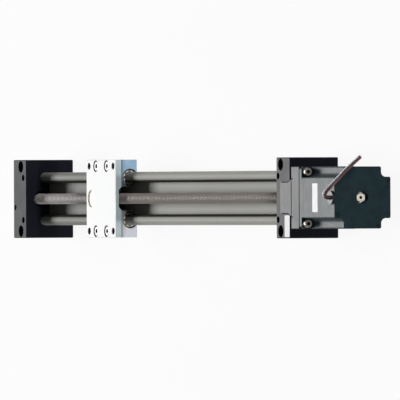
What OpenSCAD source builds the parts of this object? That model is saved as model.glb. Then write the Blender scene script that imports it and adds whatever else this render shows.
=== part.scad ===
// Screw driven linear axis: a carriage on a twin-rail extrusion, moved by a lead screw
// and an in-line stepper motor.
// X runs along the travel with the motor at +X, Y across, Z up.
// The origin is the middle of the four base bolts, on the plane the end blocks stand on.

/* [Rails] */
// Clear length between the two end blocks
rail_span = 557; // [300:1:900]
// Diameter of each round rail
rod_d = 10; // [9:0.5:10.5]
// Distance between the two rails' centres
rod_pitch = 40; // [39:0.5:41]
// Height of the rails' centres above the base
rod_z = 29.5; // [29:0.5:31]
// Height of the web's underside above the base
web_z = 20.5; // [18:0.5:20.5]
// Thickness of the web
web_t = 4.5; // [3:0.5:4.5]
// Width of the flat web between its two grooves
web_w = 30; // [26:0.5:30]
// Width of the neck that carries each rail on the web
neck_w = 5.6; // [4:0.2:6]
// Thickness of the web left under each groove
groove_floor_t = 2; // [1:0.5:3]
// How far the rails enter each end block
rail_insert = 14; // [10:0.5:16]

/* [End blocks] */
// Width of both end blocks
block_w = 74; // [72:1:90]
// Height of both end blocks
block_h = 49; // [48:0.5:52]
// Thickness of both end blocks along the travel
block_t = 29.5; // [27:0.5:36]
// Edge chamfer of the end blocks
block_chamfer = 0.8; // [0.3:0.1:1.5]
// Base bolts' distance from the block's sides
base_bolt_inset = 6.5; // [6.5:0.5:7.5]
// Idle base bolts' distance from the block's rail side
idle_bolt_inset = 12.5; // [10:0.5:18]
// Drive base bolts' distance from the block's rail side
drive_bolt_inset = 9.5; // [8:0.5:18]
// Through hole for the base bolts
base_bolt_d = 6.6; // [5.5:0.1:6.8]
// Counterbore for the base bolts' heads
base_head_d = 10.5; // [10:0.5:11]
// Depth of that counterbore
base_head_depth = 7; // [6:0.5:20]
// Idle rail clamp screws' distance from the block's rail side
idle_clamp_inset = 7; // [4:0.5:9]
// Drive rail clamp screws' distance from the block's rail side
drive_clamp_inset = 4; // [3.5:0.5:9]
// Diameter of the rail clamp screws
clamp_d = 6; // [4:0.5:6]
// Length of the rail clamp screws
clamp_l = 8; // [5:1:10]
// Diameter of the set screw that holds the idle bearing
bearing_set_d = 5; // [3:0.5:5]
// Sideways place of that set screw
bearing_set_y = -8; // [-8:0.5:-6]

/* [Lead screw] */
// Diameter of the lead screw
screw_d = 10; // [9.5:0.5:11]
// Height of the screw's axis above the base
screw_z = 33.5; // [33:0.5:34]
// Diameter of the screw's journals and the bearings' bore
journal_d = 8; // [7.6:0.1:8.4]
// Outside diameter of the ball bearings
bearing_d = 22; // [21:0.5:23]
// Width of one ball bearing
bearing_w = 7; // [6.5:0.5:7.5]
// Diameter of the bearings' balls
ball_d = 3.9; // [3.6:0.1:4]
// Clearance hole for the screw through both end blocks
screw_pocket_d = 15; // [13.5:0.5:15.5]
// Depth of the idle bearing below the block's outer face
idle_bearing_depth = 1; // [0.5:0.5:1.5]
// Thermal float between the screw's shoulder and the idle bearing
screw_float = 1.5; // [0.5:0.5:3]
// Width of the lock nut across its flats
lock_nut_af = 13; // [11:0.5:14]
// Thickness of the lock nut
lock_nut_t = 5; // [4:0.5:6]

/* [Carriage] */
// Length of the carriage
carriage_l = 66; // [64:1:100]
// Width of the carriage
carriage_w = 73; // [72:1:76]
// Height of the carriage's top above the base
carriage_z = 44.5; // [44.5:0.5:48]
// Thickness of the carriage plate
plate_t = 6.3; // [5.8:0.1:6.5]
// Clear gap between the idle block and the carriage at rest
carriage_rest = 128; // [100:1:150]
// Height of the bearing blocks
shoe_h = 15.7; // [15:0.1:16]
// Width of the open channel between the bearing blocks
channel_w = 22.4; // [22:0.2:23]
// Depth of the channel's relief in the plate
channel_relief = 3.1; // [2.6:0.1:3.3]
// Payload holes' distance from the carriage's ends
payload_inset = 6; // [5:0.5:8]
// Distance between the rows of holes across the carriage
payload_y = 61; // [59.5:0.5:61.5]
// Diameter of the payload threads
payload_d = 6; // [4:0.5:6]
// Depth of the payload threads in the bearing blocks
payload_depth = 6; // [3:0.5:7]
// Distance between the carriage screws along the travel
joint_screw_x = 24; // [20:0.5:30]
// Diameter of the carriage screws
joint_screw_d = 5; // [4:0.5:5]
// Diameter of the carriage screws' heads
joint_head_d = 8.5; // [8:0.5:9]
// Height of the carriage screws' heads
joint_head_h = 3.6; // [3:0.1:3.8]
// Counterbore round the carriage screws' heads
joint_counterbore_d = 11; // [10:0.5:11]
// Depth of that counterbore
joint_counterbore_depth = 4.2; // [3.9:0.1:4.4]

/* [Liners] */
// Outside diameter of the polymer liners
liner_d = 13.4; // [12.4:0.1:13.6]
// Length of one liner
liner_l = 24; // [15:1:30]
// Running clearance of the liners on the rails, on the radius
liner_gap = 0.05; // [0.02:0.01:0.08]
// Number of pads in a full circle of the liner
liner_pads = 8; // [6:1:12]
// Width of the slots between the pads
liner_slot = 1.6; // [1:0.1:2]
// Thickness of the liner's skin outside the pads
liner_skin = 0.45; // [0.3:0.05:0.6]
// Angle of the liner's opening round the rail's neck
liner_mouth = 86; // [84:1:90]

/* [Screw nut] */
// Diameter of the polymer nut
nut_d = 21.4; // [20.5:0.1:21.6]
// Length of the nut
nut_l = 34; // [26:1:36]
// Diameter of the boss that locks the nut in the plate
nut_boss_d = 16; // [12:0.5:16]
// Distance of the boss from the carriage's idle end
nut_boss_inset = 10.5; // [10:0.5:14]
// Depth of the boss below the carriage's top
nut_boss_depth = 1; // [0.5:0.1:1.5]
// Clearance between the nut and the web under it
nut_web_gap = 0.6; // [0.4:0.1:1]

/* [Motor adapter] */
// Width of the flange
flange_sq = 57; // [57:0.5:62]
// Thickness of the flange along the travel
flange_t = 17; // [15:0.5:20]
// Length of the neck between the drive block and the flange
neck_l = 30; // [29:0.5:31]
// Width of the neck at the drive block
neck_narrow = 29.5; // [29.5:0.5:34]
// Width of the neck's shoulders at the flange
neck_wide = 34.3; // [34.3:0.1:40]
// Where the neck's flare starts
flare_start = 15.5; // [12:0.5:18]
// Length of the neck's flare
flare_l = 7.5; // [5:0.5:10]
// Height of the neck's top above the screw's axis
neck_rise = 25.5; // [20:0.5:27]
// Depth of the shoulder pocket in the flange
shoulder_depth = 3.5; // [2:0.5:5]
// Bore of the adapter round the coupling
adapter_bore = 20.5; // [20:0.5:21]
// Sideways distance between the adapter screws
adapter_screw_y = 20; // [19.5:0.5:21]
// Height between the adapter screws
adapter_screw_z = 23.6; // [23:0.2:24]
// Diameter of the adapter screws
adapter_screw_d = 4; // [3:0.5:4]
// Grip of the adapter screws in the neck
adapter_grip = 8; // [6:0.5:12]

/* [Coupling] */
// Outside diameter of the jaw coupling
coupling_d = 19; // [18:0.5:19.2]
// Length of one hub without its jaws
hub_l = 11; // [10:0.5:11]
// Length of the jaws
jaw_l = 7; // [6:0.5:7.5]
// Gap between the jaws and the hub they face
jaw_gap = 0.5; // [0.3:0.1:0.8]
// Diameter of the hubs' set screws
hub_screw_d = 3; // [2:0.5:3]

/* [Motor] */
// Width of the motor
motor_sq = 56.4; // [56:0.1:57]
// Length of the motor
motor_l = 74; // [60:1:110]
// Thickness of the motor's square mounting plate
motor_plate_t = 4.6; // [4:0.1:5]
// Length of the front bell
front_bell_l = 8.6; // [8.6:0.1:12]
// Length of the rear bell
rear_bell_l = 12; // [11.5:0.1:16]
// Side of the notch at each corner of the motor
notch = 9.4; // [9:0.1:9.6]
// Radius inside the notch
notch_r = 4.6; // [3:0.1:5]
// Radius on the notch's tips
tip_r = 1.6; // [0.8:0.1:2]
// Diameter of the motor's pilot
pilot_d = 38.1; // [36:0.1:39]
// Height of the motor's pilot
pilot_h = 1.6; // [1:0.1:1.8]
// Distance between the motor's mounting screws
motor_bolt_pitch = 47.14; // [46.8:0.02:47.4]
// Diameter of the motor's mounting screws
motor_bolt_d = 4; // [4:0.5:5]
// Diameter of their heads
motor_head_d = 7; // [7:0.1:8.5]
// Thickness of their washers
washer_t = 1; // [0.5:0.1:1.2]
// Diameter of the motor's output shaft
shaft_d = 6.35; // [5:0.05:6.5]
// Length of the output shaft in front of the motor
shaft_l = 20.5; // [20:0.1:21]
// Diameter of the rotor
rotor_d = 30; // [26:0.5:31]
// Air gap between the rotor and the stator's teeth
air_gap = 0.3; // [0.3:0.05:0.5]
// Diameter of the hole in the rear bell
rear_hole_d = 12; // [11.5:0.1:13]
// Width across the flats of the hexagon on the shaft's rear end
shaft_hex_af = 8; // [7:0.1:9]
// Depth of that hexagon below the rear face
shaft_hex_depth = 3.4; // [2.5:0.1:4]
// Thickness of that hexagon
shaft_hex_t = 1; // [0.8:0.1:1.2]
// Hole through the hexagon and into the shaft's end
shaft_hex_hole_d = 3; // [2:0.1:4]
// Depth of that hole in the shaft
shaft_hole_depth = 4; // [2:0.5:6]
// Diameter of the screws through the motor
body_screw_d = 3; // [2:0.5:3]
// Diameter of the lead grommet's flange
grommet_d = 12.2; // [11:0.1:12.4]
// Height of the lead grommet above the motor
grommet_h = 1.6; // [1:0.1:2.5]

/* [Leads] */
// Diameter of each motor lead
lead_d = 1.5; // [1.2:0.1:1.6]

/* [Hidden] */
$fn = 64;

// Clearances: of a fixed fit, of a hole round a screw, of a running ball.
fit = 0.02;
slack = 0.25;
ball_play = 0.03;
// What a screw's point or a pilot has left to its seat.
seat_gap = 0.05;
// What a bolt has left round it in a through hole.
bolt_gap = 0.1;
// Gap beside a piece that turns.
turning_gap = 0.4;
// A cut's overshoot past the face it starts from.
past = 1;

// The end blocks, and the depth of the threads in them and in the motor adapter.
base_bolt_pitch = block_w - 2 * base_bolt_inset;
base_head_chamfer = 0.3;
adapter_thread = 10;
motor_thread = 11;
thread_runout = 2;
adapter_head_d = 1.75 * adapter_screw_d;
adapter_head_gap = 0.2;
flange_chamfer = 0.6;
pilot_depth = pilot_h + turning_gap;

// Faces along the travel.
bolt_span = rail_span + idle_bolt_inset + drive_bolt_inset;
idle_face = -bolt_span / 2 + idle_bolt_inset;
idle_outer = idle_face - block_t;
drive_face = bolt_span / 2 - drive_bolt_inset;
drive_outer = drive_face + block_t;
motor_face = drive_outer + neck_l + flange_t;
rear_face = motor_face + motor_l;
stator_start = motor_face + front_bell_l;
stator_end = rear_face - rear_bell_l;

// Bearing places, each the bearing's low-X face.
idle_bearing_x = idle_outer + idle_bearing_depth;
drive_pitch = bearing_w + fit;
drive_bearing_x = drive_outer - bearing_w - drive_pitch;
front_bearing_x = stator_start - bearing_w;
rear_wall_t = 0.6;
rear_hole_depth = shaft_hex_depth + shaft_hex_t + turning_gap;
rear_bearing_x = rear_face - rear_hole_depth - rear_wall_t - bearing_w;

// Sections of the ball bearings: inner ring's wall, raceway circle and shields.
ball_circle_r = (journal_d + bearing_d) / 4;
land_offset = 0.37 * ball_d;
inner_ring_r = ball_circle_r - land_offset;
outer_ring_r = ball_circle_r + land_offset;
shield_t = 0.4;
shield_recess = 0.2;
ball_count = 7;
cage_w = 0.9;

// The carriage.
carriage_x = idle_face + carriage_rest + carriage_l / 2;
payload_x = carriage_l - 2 * payload_inset;
plate_z = carriage_z - plate_t;
shoe_z = plate_z - shoe_h;
web_top = web_z + web_t;
shoe_web_gap = 0.35;
plate_chamfer = 0.4;
shoe_chamfer = 0.3;
shoe_w = (carriage_w - channel_w) / 2;
liner_inset = 1.4;
mouth_chamfer = 1.4;
payload_chamfer = 0.4;
nut_relief_gap = 0.2;
nut_top = plate_z + channel_relief - nut_relief_gap;
nut_inset = 1;
nut_screw_cover = 1;
nut_x = carriage_x - carriage_l / 2 + nut_boss_inset;
joint_thread = 8;

// The motor adapter and the coupling in it.
FLARE_STEPS = 12;
hub_b_x = motor_face - shaft_l;
hub_a_x = hub_b_x - jaw_gap - jaw_l - hub_l;
wrench_hole_d = 2 * hub_screw_d;
JAWS = 3;
jaw_angle = 44;
leg_angle = 12;
jaw_inner_r = 5;
spider_rim_gap = 0.3;
spider_core_gap = 0.2;
hub_screw_recess = 0.8;

// The motor.
motor_flat = motor_sq / 2 - notch;
stator_bore_r = rotor_d / 2 + air_gap;
coil_r = 23;
bell_hub_r = 13.5;
coil_head = 3.6;
teeth = 8;
tooth_w = 6;
shoe_tip = 2;
shoe_w_tooth = 9.6;
coil_gap = 0.2;
coil_side = 2.2;
magnet_t = 4;
magnet_step = 2;
magnet_r = rotor_d / 2 - magnet_step;
rotor_inset = 1;
body_screw_r = [25.2, 15];
body_head_d = 5;
body_head_h = 1.8;
body_head_recess = 0.2;
body_screw_start = 2;
body_screw_thread_gap = 0.5;
plate_r = 3;
end_hole_r = 5;
mount_washer_rim = 0.5;
coil_room = 0.4;
grommet_edge = 0.2;
grommet_x = rear_face - grommet_d / 2 - grommet_edge;
grommet_bore_d = 4.6;
motor_top = screw_z + motor_sq / 2;
lead_hole_d = 8;
lead_tail = 6;
grommet_plug = 5;

// The middle of the bundle of four leads: up out of the grommet, over and down behind it.
// Each point is along the travel from the rear face, across, and above the motor's top.
LEAD_ROUTE = [
    [-6.3, 0, -3], [-6.3, 0, 0], [-6.3, 0, 2.6], [-6.1, 0.3, 5], [-5.4, 1.4, 6.9],
    [-4, 3.6, 7.7], [-1.9, 5.9, 7.4], [0.4, 8.4, 6], [2.6, 11.1, 4.2], [4.4, 14.1, 1.9],
    [5.9, 17, -0.4], [7.2, 19.9, -2.9], [8.2, 23, -5.4], [9, 25.7, -8], [9.7, 28.1, -10.6],
    [10.3, 30.5, -13.2], [10.8, 32.8, -15.7], [11.2, 35, -18.2], [11.6, 37.1, -20.6]
];
// Across the bundle's bending plane, for the four leads' places side by side.
LEAD_SIDE = [0.9, -0.43, 0];
lead_spread = 0.58;
LEAD_SIDES = 8;

// A box with every edge chamfered, from its low corner, along the three axes.
module chamfered_box(size, c) {
    intersection() {
        linear_extrude(size.z) chamfered_rect([size.x, size.y], c);
        translate([0, size.y, 0]) rotate([90, 0, 0])
            linear_extrude(size.y) chamfered_rect([size.x, size.z], c);
        rotate([90, 0, 90]) linear_extrude(size.x) chamfered_rect([size.y, size.z], c);
    }
}

module chamfered_rect(size, c) {
    polygon([
        [c, 0], [size.x - c, 0], [size.x, c], [size.x, size.y - c],
        [size.x - c, size.y], [c, size.y], [0, size.y - c], [0, c]
    ]);
}

module rounded_square(size, r) {
    square([size.x - 2 * r, size.y], center = true);
    square([size.x, size.y - 2 * r], center = true);
    for (x = [-1, 1], y = [-1, 1])
        translate([x * (size.x / 2 - r), y * (size.y / 2 - r)]) circle(r);
}

// The chamfer round a hole's mouth, its upper face at the origin.
module mouth(d, c) {
    translate([0, 0, -c]) cylinder(h = 2 * c, d1 = d, d2 = d + 4 * c);
}

// A cylinder along the travel, from x, on the screw's axis moved by [y, z].
module bar(x, l, r, at = [0, 0]) {
    translate([x, at.x, screw_z + at.y]) rotate([0, 90, 0]) cylinder(h = l, r = r);
}

// A hexagonal prism along the travel on the screw's axis, with corners at +Y and -Y.
module hex_bar(x, l, af) {
    translate([x, 0, screw_z]) rotate([0, 90, 0]) rotate([0, 0, 90])
        cylinder(h = l, r = af / 2 / cos(30), $fn = 6);
}

// A section in the Y-Z plane, pushed along the travel from x.
module push(x, l) {
    translate([x, 0, 0]) rotate([90, 0, 90]) linear_extrude(l) children();
}

// A section of radius against X, turned round the screw's axis from x.
module turned(x) {
    translate([x, 0, screw_z]) rotate([0, 90, 0]) rotate_extrude() children();
}

// Section of the twin rail: a web, a neck and a round rail at each side, and the groove
// between web and neck that the liner's lip runs in. grow makes the socket for it.
module rail_section(grow = 0) {
    half = rod_pitch / 2;
    for (s = [-1, 1]) {
        translate([s * half, rod_z]) circle(rod_d / 2 + grow);
        translate([s * half - neck_w / 2 - grow, web_z - grow])
            square([neck_w + 2 * grow, rod_z - web_z + grow]);
    }
    translate([-half, web_z - grow]) square([rod_pitch, groove_floor_t + 2 * grow]);
    translate([-web_w / 2 - grow, web_z - grow]) square([web_w + 2 * grow, web_t + 2 * grow]);
}

module twin_rail() {
    color([0.6, 0.6, 0.58])
        push(idle_face - rail_insert, rail_span + 2 * rail_insert) rail_section();
}

// What both end blocks share: the body, the rail socket, the base bolts' holes and the
// clamp screws' holes. inner is the rail side, side is +1 where the block lies beyond it.
module end_block(inner, side, bolt_inset, clamp_inset) {
    low = side > 0 ? inner : inner - block_t;
    difference() {
        translate([low, -block_w / 2, 0])
            chamfered_box([block_t, block_w, block_h], block_chamfer);
        push(side > 0 ? inner - past : inner - rail_insert, rail_insert + past)
            rail_section(fit);
        bar(low - past, block_t + 2 * past, screw_pocket_d / 2);
        for (s = [-1, 1]) {
            translate([inner + side * bolt_inset, s * base_bolt_pitch / 2, 0]) {
                translate([0, 0, -past]) cylinder(h = block_h + 2 * past, d = base_bolt_d);
                translate([0, 0, block_h - base_head_depth])
                    cylinder(h = base_head_depth + past, d = base_head_d);
                translate([0, 0, block_h]) mouth(base_head_d, base_head_chamfer);
            }
            translate([inner + side * clamp_inset, s * rod_pitch / 2, rod_z])
                cylinder(h = block_h, d = clamp_d);
        }
    }
}

module idle_block() {
    color([0.12, 0.12, 0.14]) difference() {
        end_block(idle_face, -1, idle_bolt_inset, idle_clamp_inset);
        bar(idle_outer - past, idle_bearing_depth + bearing_w + past, bearing_d / 2);
        translate([idle_bearing_x + bearing_w / 2, bearing_set_y, screw_z])
            cylinder(h = block_h, d = bearing_set_d);
    }
}

module drive_block() {
    color([0.12, 0.12, 0.14]) difference() {
        end_block(drive_face, 1, drive_bolt_inset, drive_clamp_inset);
        bar(drive_bearing_x, bearing_w + drive_pitch + past, bearing_d / 2);
        adapter_screw_places() bar(drive_outer - adapter_thread - thread_runout,
            adapter_thread + thread_runout + past, adapter_screw_d / 2 + fit);
    }
}

// A headless screw with a hex socket, its point down at the origin.
module grub_screw(d, l) {
    socket_af = d / 2;
    difference() {
        cylinder(h = l, d = d);
        translate([0, 0, l - d / 2])
            cylinder(h = d, r = socket_af / 2 / cos(30), $fn = 6);
    }
}

module rail_clamp_screws() {
    seat_z = rod_z + rod_d / 2 + seat_gap;
    places = [idle_face - idle_clamp_inset, drive_face + drive_clamp_inset];
    color([0.1, 0.1, 0.1]) for (x = places, s = [-1, 1])
        translate([x, s * rod_pitch / 2, seat_z]) grub_screw(clamp_d - 2 * fit, clamp_l);
}

// The set screw's flat point rests on the bearing ring at the point's inner edge.
module bearing_set_screw() {
    edge_y = abs(bearing_set_y) - bearing_set_d / 2;
    seat_z = screw_z + sqrt(pow(bearing_d / 2, 2) - pow(edge_y, 2)) + seat_gap;
    color([0.1, 0.1, 0.1]) translate([idle_bearing_x + bearing_w / 2, bearing_set_y, seat_z])
        grub_screw(bearing_set_d - 2 * fit, bearing_set_d);
}

// The ball's groove, as a section at the raceway circle.
module raceway() {
    translate([ball_circle_r, bearing_w / 2]) circle(ball_d / 2 + ball_play);
}

// Outer ring with a shield let into each side.
module outer_ring(x) {
    shield_r = inner_ring_r + slack;
    turned(x) difference() {
        union() {
            translate([outer_ring_r, 0]) square([bearing_d / 2 - fit - outer_ring_r, bearing_w]);
            for (side = [shield_recess, bearing_w - shield_recess - shield_t])
                translate([shield_r, side]) square([outer_ring_r - shield_r + shield_recess, shield_t]);
        }
        raceway();
    }
}

module inner_ring(x) {
    turned(x) difference() {
        translate([journal_d / 2, 0]) square([inner_ring_r - journal_d / 2, bearing_w]);
        raceway();
    }
}

// Balls joined by their cage.
module ball_set(x) {
    translate([x + bearing_w / 2, 0, screw_z]) rotate([0, 90, 0]) {
        for (i = [0 : ball_count - 1])
            rotate([0, 0, i * 360 / ball_count]) translate([ball_circle_r, 0, 0])
                sphere(d = ball_d, $fn = 32);
        rotate_extrude() translate([ball_circle_r, 0]) square(cage_w, center = true);
    }
}

module idle_bearing_outer_ring() { color("silver") outer_ring(idle_bearing_x); }
module idle_bearing_inner_ring() { color("silver") inner_ring(idle_bearing_x); }
module idle_bearing_balls() { color("silver") ball_set(idle_bearing_x); }

module drive_bearing_outer_rings() {
    color("silver") for (i = [0, 1]) outer_ring(drive_bearing_x + i * drive_pitch);
}

module drive_bearing_inner_rings() {
    color("silver") for (i = [0, 1]) inner_ring(drive_bearing_x + i * drive_pitch);
}

module drive_bearing_balls() {
    color("silver") for (i = [0, 1]) ball_set(drive_bearing_x + i * drive_pitch);
}

// The threaded length carries a journal at each end; the thread's crests are the bar here.
module lead_screw() {
    thread_start = idle_bearing_x + bearing_w + screw_float;
    color([0.55, 0.5, 0.48]) {
        bar(thread_start, drive_bearing_x - thread_start, screw_d / 2);
        bar(idle_bearing_x, thread_start - idle_bearing_x, journal_d / 2 - fit);
        bar(drive_bearing_x, hub_a_x + hub_l - drive_bearing_x, journal_d / 2 - fit);
    }
}

module screw_lock_nut() {
    color([0.3, 0.3, 0.32]) difference() {
        hex_bar(drive_outer, lock_nut_t, lock_nut_af);
        bar(drive_outer - past, lock_nut_t + 2 * past, journal_d / 2);
    }
}

// Places of the four payload holes and of the four screws that hold the carriage together.
module carriage_holes(pitch_x) {
    for (i = [-1, 1], j = [-1, 1])
        translate([carriage_x + i * pitch_x / 2, j * payload_y / 2, 0]) children();
}

// The plate, relieved over the screw between its two chamfered channel sides.
module carriage_plate() {
    relief_w = channel_w - 2 * channel_relief;
    color([0.9, 0.9, 0.9]) difference() {
        translate([carriage_x - carriage_l / 2, -carriage_w / 2, plate_z])
            chamfered_box([carriage_l, carriage_w, plate_t], plate_chamfer);
        push(carriage_x - carriage_l / 2 - past, carriage_l + 2 * past) polygon([
            [-channel_w / 2 - past, plate_z - past], [channel_w / 2 + past, plate_z - past],
            [relief_w / 2, plate_z + channel_relief], [-relief_w / 2, plate_z + channel_relief]
        ]);
        carriage_holes(payload_x) {
            translate([0, 0, plate_z - past]) cylinder(h = plate_t + 2 * past, d = payload_d);
            translate([0, 0, carriage_z]) mouth(payload_d, payload_chamfer);
        }
        carriage_holes(joint_screw_x) {
            translate([0, 0, plate_z - past])
                cylinder(h = plate_t + 2 * past, d = joint_screw_d + slack);
            translate([0, 0, carriage_z - joint_counterbore_depth])
                cylinder(h = joint_counterbore_depth + past, d = joint_counterbore_d);
        }
        translate([nut_x, 0, plate_z]) cylinder(h = plate_t + past, d = nut_boss_d);
    }
}

// A C-shaped bearing block: its bore is open below, and its inner lip clears the web.
module bearing_block(side) {
    start = carriage_x - carriage_l / 2;
    rod_y = rod_pitch / 2;
    mouth_w = liner_d * sin(liner_mouth / 2) + 2 * shoe_web_gap;
    color([0.75, 0.8, 0.88]) difference() {
        translate([start, side > 0 ? channel_w / 2 : -carriage_w / 2, shoe_z])
            chamfered_box([carriage_l, shoe_w, shoe_h], shoe_chamfer);
        translate([start - past, side * rod_y, rod_z]) rotate([0, 90, 0])
            cylinder(h = carriage_l + 2 * past, d = liner_d + 2 * fit);
        for (end = [0, 1])
            translate([start + end * carriage_l, side * rod_y, rod_z])
                rotate([0, end ? 90 : -90, 0]) mouth(liner_d, mouth_chamfer);
        translate([start - past, side * rod_y - mouth_w / 2, web_z])
            cube([carriage_l + 2 * past, mouth_w, rod_z - web_z]);
        translate([start - past, side > 0 ? 0 : -rod_y, web_z])
            cube([carriage_l + 2 * past, rod_y, web_top + shoe_web_gap - web_z]);
        carriage_holes(payload_x) translate([0, 0, plate_z - payload_depth])
            cylinder(h = payload_depth + past, d = payload_d);
        carriage_holes(joint_screw_x)
            translate([0, 0, plate_z - joint_thread - thread_runout])
                cylinder(h = joint_thread + thread_runout + past, d = joint_screw_d + 2 * fit);
    }
}

module bearing_block_left() { bearing_block(1); }
module bearing_block_right() { bearing_block(-1); }

// Section of a slotted liner: a skin that opens downwards, with pads inside it.
module liner_section() {
    pad_r = rod_d / 2 + liner_gap;
    skin_r = liner_d / 2 - liner_skin;
    far = liner_d;
    mouth = liner_mouth / 2;
    difference() {
        circle(liner_d / 2);
        circle(pad_r);
        polygon([[0, 0], [-far * sin(mouth), -far * cos(mouth)],
            [0, -2 * far], [far * sin(mouth), -far * cos(mouth)]]);
        intersection() {
            circle(skin_r);
            for (i = [0 : liner_pads - 1])
                rotate(i * 360 / liner_pads) translate([0, -liner_slot / 2])
                    square([far, liner_slot]);
        }
    }
}

module liner_pair(side) {
    low = carriage_x - carriage_l / 2 + liner_inset;
    high = carriage_x + carriage_l / 2 - liner_inset - liner_l;
    color([0.82, 0.76, 0.6]) for (x = [low, high])
        translate([0, side * rod_pitch / 2, rod_z]) push(x, liner_l) liner_section();
}

module liners_left() { liner_pair(1); }
module liners_right() { liner_pair(-1); }

// A cap screw along +Z, its head's seat at the origin and its shank below.
module cap_screw(d, l, head_d, head_h) {
    socket_af = 0.8 * d;
    socket_depth = 0.55 * head_h;
    difference() {
        union() {
            cylinder(h = head_h, d = head_d);
            translate([0, 0, -l]) cylinder(h = l + head_h / 2, d = d);
        }
        translate([0, 0, head_h - socket_depth])
            cylinder(h = head_h, r = socket_af / 2 / cos(30), $fn = 6);
    }
}

module carriage_screws() {
    seat = carriage_z - joint_counterbore_depth;
    color([0.25, 0.25, 0.25]) carriage_holes(joint_screw_x) translate([0, 0, seat])
        cap_screw(joint_screw_d, seat - plate_z + joint_thread, joint_head_d, joint_head_h);
}

// Polymer nut, flat above and below, with the boss that takes the thrust in the plate.
module screw_nut() {
    bottom = web_top + nut_web_gap;
    start = carriage_x - carriage_l / 2 + nut_inset;
    boss_z = screw_z + screw_d / 2 + nut_screw_cover;
    color([0.85, 0.8, 0.6]) difference() {
        union() {
            intersection() {
                bar(start, nut_l, nut_d / 2);
                translate([start, -nut_d / 2, bottom]) cube([nut_l, nut_d, nut_top - bottom]);
            }
            translate([nut_x, 0, boss_z])
                cylinder(h = carriage_z - nut_boss_depth - boss_z, d = nut_boss_d - 2 * fit);
        }
        bar(start - past, nut_l + 2 * past, screw_d / 2 + liner_gap);
    }
}

// Four places round the screw's axis, for the screws that hold the adapter to the block.
module adapter_screw_places() {
    for (i = [-1, 1], j = [-1, 1])
        translate([0, i * adapter_screw_y / 2, j * adapter_screw_z / 2]) children();
}

module motor_bolt_places() {
    for (i = [-1, 1], j = [-1, 1])
        translate([0, i * motor_bolt_pitch / 2, j * motor_bolt_pitch / 2]) children();
}

// Half width of the neck at a distance from the drive block: straight, flared, straight.
function neck_half(x) =
    let (t = min(1, max(0, (x - flare_start) / flare_l)))
    (neck_narrow + (neck_wide - neck_narrow) * (1 - cos(180 * t)) / 2) / 2;

// Outline of the neck from above, out to length l.
module neck_outline(l) {
    flare = [for (i = [0 : FLARE_STEPS]) flare_start + i * flare_l / FLARE_STEPS];
    side = concat([[0, neck_half(0)]], [for (x = flare) [x, neck_half(x)]],
        [[l, neck_half(l)]]);
    polygon(concat(side, [for (i = [len(side) - 1 : -1 : 0]) [side[i].x, -side[i].y]]));
}

module motor_adapter() {
    top = screw_z + neck_rise;
    color([0.13, 0.13, 0.15]) difference() {
        union() {
            translate([drive_outer, 0, screw_z - neck_rise])
                linear_extrude(2 * neck_rise) neck_outline(neck_l + past);
            difference() {
                translate([drive_outer + neck_l, -flange_sq / 2, screw_z - flange_sq / 2])
                    chamfered_box([flange_t, flange_sq, flange_sq], flange_chamfer);
                translate([drive_outer + neck_l - past, -neck_wide / 2 - flange_chamfer, top])
                    cube([shoulder_depth + past, neck_wide + 2 * flange_chamfer, flange_sq]);
            }
        }
        bar(drive_outer - past, neck_l + flange_t + 2 * past, adapter_bore / 2);
        bar(motor_face - pilot_depth, pilot_depth + past, pilot_d / 2 + seat_gap);
        adapter_screw_places() {
            bar(drive_outer - past, neck_l + flange_t + 2 * past,
                adapter_screw_d / 2 + bolt_gap);
            bar(drive_outer + adapter_grip, neck_l + flange_t,
                adapter_head_d / 2 + adapter_head_gap);
        }
        motor_bolt_places() bar(motor_face - motor_thread - thread_runout,
            motor_thread + thread_runout + past, motor_bolt_d / 2 + fit);
        for (x = [hub_a_x, hub_b_x])
            translate([x + hub_l / 2, 0, screw_z]) rotate([90, 0, 0])
                cylinder(h = flange_sq, d = wrench_hole_d);
    }
}

module adapter_screws() {
    grip = drive_outer + adapter_grip;
    color([0.2, 0.2, 0.2]) adapter_screw_places() translate([grip, 0, screw_z])
        rotate([0, 90, 0])
            cap_screw(adapter_screw_d, adapter_grip + adapter_thread,
                adapter_head_d, adapter_screw_d);
}

// A slice of a circle about the screw's axis, in the section plane.
module slice(middle, angle) {
    far = coupling_d;
    rotate(middle) polygon([[0, 0], [far * cos(angle / 2), -far * sin(angle / 2)],
        [far * cos(angle / 2), far * sin(angle / 2)]]);
}

module jaws(x, first) {
    for (i = [0 : JAWS - 1]) translate([0, 0, screw_z]) push(x, jaw_l)
        intersection() {
            difference() {
                circle(coupling_d / 2);
                circle(jaw_inner_r);
            }
            slice(first + i * 360 / JAWS, jaw_angle);
        }
}

// One hub: a bored drum with a radial set screw and three jaws on its inner face.
module hub(x, jaw_x, first, bore_d) {
    difference() {
        union() {
            bar(x, hub_l, coupling_d / 2);
            jaws(jaw_x, first);
        }
        bar(x - past, hub_l + 2 * past, bore_d / 2);
        translate([x + hub_l / 2, 0, screw_z]) rotate([90, 0, 0])
            cylinder(h = coupling_d, d = hub_screw_d);
    }
}

module coupling_hub_screw_side() {
    color("silver") hub(hub_a_x, hub_a_x + hub_l, 0, journal_d);
}

module coupling_hub_motor_side() {
    color("silver") hub(hub_b_x, hub_b_x - jaw_l, 180 / JAWS, shaft_d);
}

module coupling_spider() {
    legs = 2 * JAWS;
    color([0.7, 0.1, 0.1]) translate([0, 0, screw_z])
        push(hub_a_x + hub_l + jaw_gap / 2, jaw_l) intersection() {
            circle(coupling_d / 2 - spider_rim_gap);
            union() {
                circle(jaw_inner_r - spider_core_gap);
                for (i = [0 : legs - 1]) slice((i + 0.5) * 360 / legs, leg_angle);
            }
        }
}

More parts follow.
